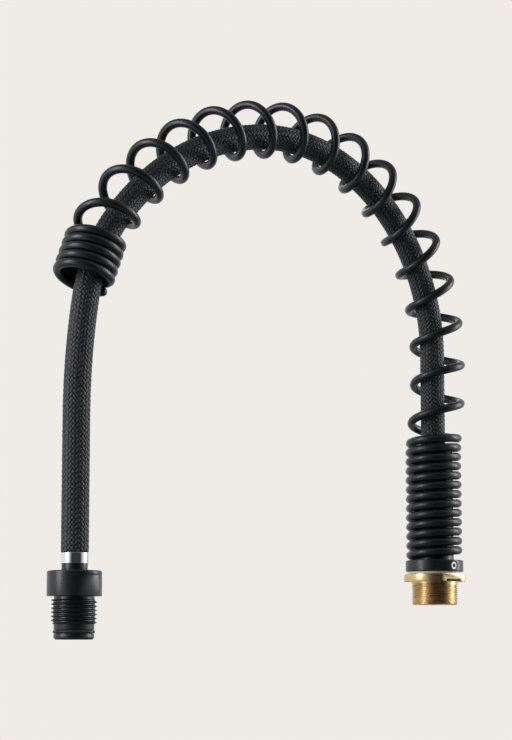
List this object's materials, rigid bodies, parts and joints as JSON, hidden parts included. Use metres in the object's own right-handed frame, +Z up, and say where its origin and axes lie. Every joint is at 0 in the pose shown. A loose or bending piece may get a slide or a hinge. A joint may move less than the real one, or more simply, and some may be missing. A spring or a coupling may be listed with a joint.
{
  "type": "braided supply line",
  "caption": "Black braided water hose bent into an arch inside an open guard spring, with a swivelling column fitting and a chrome-ringed swivel connector for the spray head.",
  "frame": {"origin": "on the axis of the column fitting's thread, at the flange face that seats on the faucet column", "axes": "+Z up the column axis; the line arches towards -X and hangs down to the spray end; the whole arch lies in the XZ plane at rest"},
  "size_m": [0.2564, 0.03, 0.2688],
  "materials": {
    "bare_brass": "machined",
    "black_rubber": "matte",
    "white_plastic": "smooth",
    "black_metal": "satin",
    "steel": "bright",
    "fibre": "matte",
    "bright_chrome": "polished",
    "tube_rubber": "matte",
    "braid_yarn": "woven, matte",
    "spring_coat": "satin black"
  },
  "bodies": {
    "column": {"column_adapter": "bare_brass", "column_face_oring": "black_rubber", "swivel_orings": "black_rubber"},
    "base": {"inner_tube_base": "tube_rubber", "braid_base": "braid_yarn", "guard_spring_base": "spring_coat", "glide_washer": "white_plastic", "spring_seat": "black_metal", "seat_screws": "steel", "insert_seal": "fibre", "column_insert": "bare_brass", "column_ferrule": "steel"},
    "arch_1": {"inner_tube_arch_1": "tube_rubber", "braid_arch_1": "braid_yarn", "guard_spring_arch_1": "spring_coat"},
    "arch_2": {"inner_tube_arch_2": "tube_rubber", "braid_arch_2": "braid_yarn", "guard_spring_arch_2": "spring_coat"},
    "arch_3": {"inner_tube_arch_3": "tube_rubber", "braid_arch_3": "braid_yarn", "guard_spring_arch_3": "spring_coat"},
    "arch_4": {"inner_tube_arch_4": "tube_rubber", "braid_arch_4": "braid_yarn", "guard_spring_arch_4": "spring_coat"},
    "arch_5": {"inner_tube_arch_5": "tube_rubber", "braid_arch_5": "braid_yarn", "guard_spring_arch_5": "spring_coat"},
    "arch_6": {"inner_tube_arch_6": "tube_rubber", "braid_arch_6": "braid_yarn", "guard_spring_arch_6": "spring_coat"},
    "arch_7": {"inner_tube_arch_7": "tube_rubber", "braid_arch_7": "braid_yarn", "guard_spring_arch_7": "spring_coat"},
    "arch_8": {"inner_tube_arch_8": "tube_rubber", "braid_arch_8": "braid_yarn", "guard_spring_arch_8": "spring_coat"},
    "drop_1": {"inner_tube_drop_1": "tube_rubber", "braid_drop_1": "braid_yarn"},
    "drop_2": {"inner_tube_drop_2": "tube_rubber", "braid_drop_2": "braid_yarn"},
    "drop_3": {"inner_tube_drop_3": "tube_rubber", "braid_drop_3": "braid_yarn"},
    "drop_4": {"inner_tube_drop_4": "tube_rubber", "braid_drop_4": "braid_yarn", "chrome_ferrule": "bright_chrome", "spray_insert": "black_metal", "journal_orings": "black_rubber", "swivel_clip": "steel"},
    "connector": {"spray_connector": "black_metal", "pilot_oring": "black_rubber", "valve_cartridge": "white_plastic", "cartridge_oring": "black_rubber", "valve_spring": "steel", "valve_guide": "white_plastic"},
    "poppet": {"valve_poppet": "white_plastic", "poppet_seal": "black_rubber"}
  },
  "joints": [
    {"name": "spout_swivel", "type": "hinge", "parent": "column", "child": "base", "pos_m": [0, 0, 0.0125], "axis": [0, 0, 1], "continuous": true},
    {"name": "pull_down", "type": "hinge", "parent": "base", "child": "arch_1", "pos_m": [0, 0, 0.11139], "axis": [0, -1, 0], "range_deg": [-3, 9], "stiffness_Nm_per_rad": 2},
    {"name": "side_lean", "type": "hinge", "parent": "arch_1", "child": "arch_2", "pos_m": [-0.00161, 0, 0.13699], "axis": [0.984, 0, 0.1781], "range_deg": [-10, 10], "stiffness_Nm_per_rad": 2},
    {"name": "pull_down_2", "type": "hinge", "parent": "arch_2", "child": "arch_3", "pos_m": [-0.00934, 0, 0.16141], "axis": [0, -1, 0], "range_deg": [-2.93, 8.69], "stiffness_Nm_per_rad": 2},
    {"name": "pull_down_3", "type": "hinge", "parent": "arch_3", "child": "arch_4", "pos_m": [-0.0416, 0, 0.20068], "axis": [0, -1, 0], "range_deg": [-2.51, 7.43], "stiffness_Nm_per_rad": 2},
    {"name": "pull_down_4", "type": "hinge", "parent": "arch_4", "child": "arch_5", "pos_m": [-0.0889, 0, 0.21927], "axis": [0, -1, 0], "range_deg": [-1.88, 5.54], "stiffness_Nm_per_rad": 2},
    {"name": "side_lean_2", "type": "hinge", "parent": "arch_5", "child": "arch_6", "pos_m": [-0.11452, 0, 0.21909], "axis": [-0.1338, 0, 0.991], "range_deg": [-8.05, 8.05], "stiffness_Nm_per_rad": 2},
    {"name": "pull_down_5", "type": "hinge", "parent": "arch_6", "child": "arch_7", "pos_m": [-0.13944, 0, 0.21305], "axis": [0, -1, 0], "range_deg": [-1.19, 3.47], "stiffness_Nm_per_rad": 2},
    {"name": "pull_down_6", "type": "hinge", "parent": "arch_7", "child": "arch_8", "pos_m": [-0.18377, 0, 0.18768], "axis": [0, -1, 0], "range_deg": [-0.59, 1.67], "stiffness_Nm_per_rad": 2},
    {"name": "hang_1", "type": "hinge", "parent": "arch_8", "child": "drop_1", "pos_m": [-0.22233, 0, 0.11807], "axis": [0, -1, 0], "range_deg": [-17.78, 5.96], "stiffness_Nm_per_rad": 0.1},
    {"name": "hang_2", "type": "hinge", "parent": "drop_1", "child": "drop_2", "pos_m": [-0.22444, 0, 0.09819], "axis": [0, -1, 0], "range_deg": [-17.78, 5.96], "stiffness_Nm_per_rad": 0.1},
    {"name": "drop_sway", "type": "hinge", "parent": "drop_2", "child": "drop_3", "pos_m": [-0.22548, 0, 0.07322], "axis": [-1, 0, 0.0059], "range_deg": [-15, 15], "stiffness_Nm_per_rad": 0.05},
    {"name": "drop_swing", "type": "hinge", "parent": "drop_3", "child": "drop_4", "pos_m": [-0.22549, 0, 0.04822], "axis": [0, -1, 0], "range_deg": [-15, 15], "stiffness_Nm_per_rad": 0.05},
    {"name": "connector_swivel", "type": "hinge", "parent": "drop_4", "child": "connector", "pos_m": [-0.22549, 0, -0.005], "axis": [0, 0, -1], "continuous": true},
    {"name": "valve_open", "type": "slide", "parent": "connector", "child": "poppet", "axis": [0, 0, -1], "range_m": [0, 0.002], "stiffness_N_per_m": 300, "deforming": ["valve_spring"]}
  ],
  "couplings": [
    {"joint": "pull_down_2", "follows": "pull_down", "ratio": 0.96},
    {"joint": "pull_down_3", "follows": "pull_down", "ratio": 0.82},
    {"joint": "pull_down_4", "follows": "pull_down", "ratio": 0.61},
    {"joint": "side_lean_2", "follows": "side_lean", "ratio": 0.8},
    {"joint": "pull_down_5", "follows": "pull_down", "ratio": 0.38},
    {"joint": "pull_down_6", "follows": "pull_down", "ratio": 0.18},
    {"joint": "hang_1", "follows": "pull_down", "ratio": -1.97},
    {"joint": "hang_2", "follows": "pull_down", "ratio": -1.97}
  ]
}
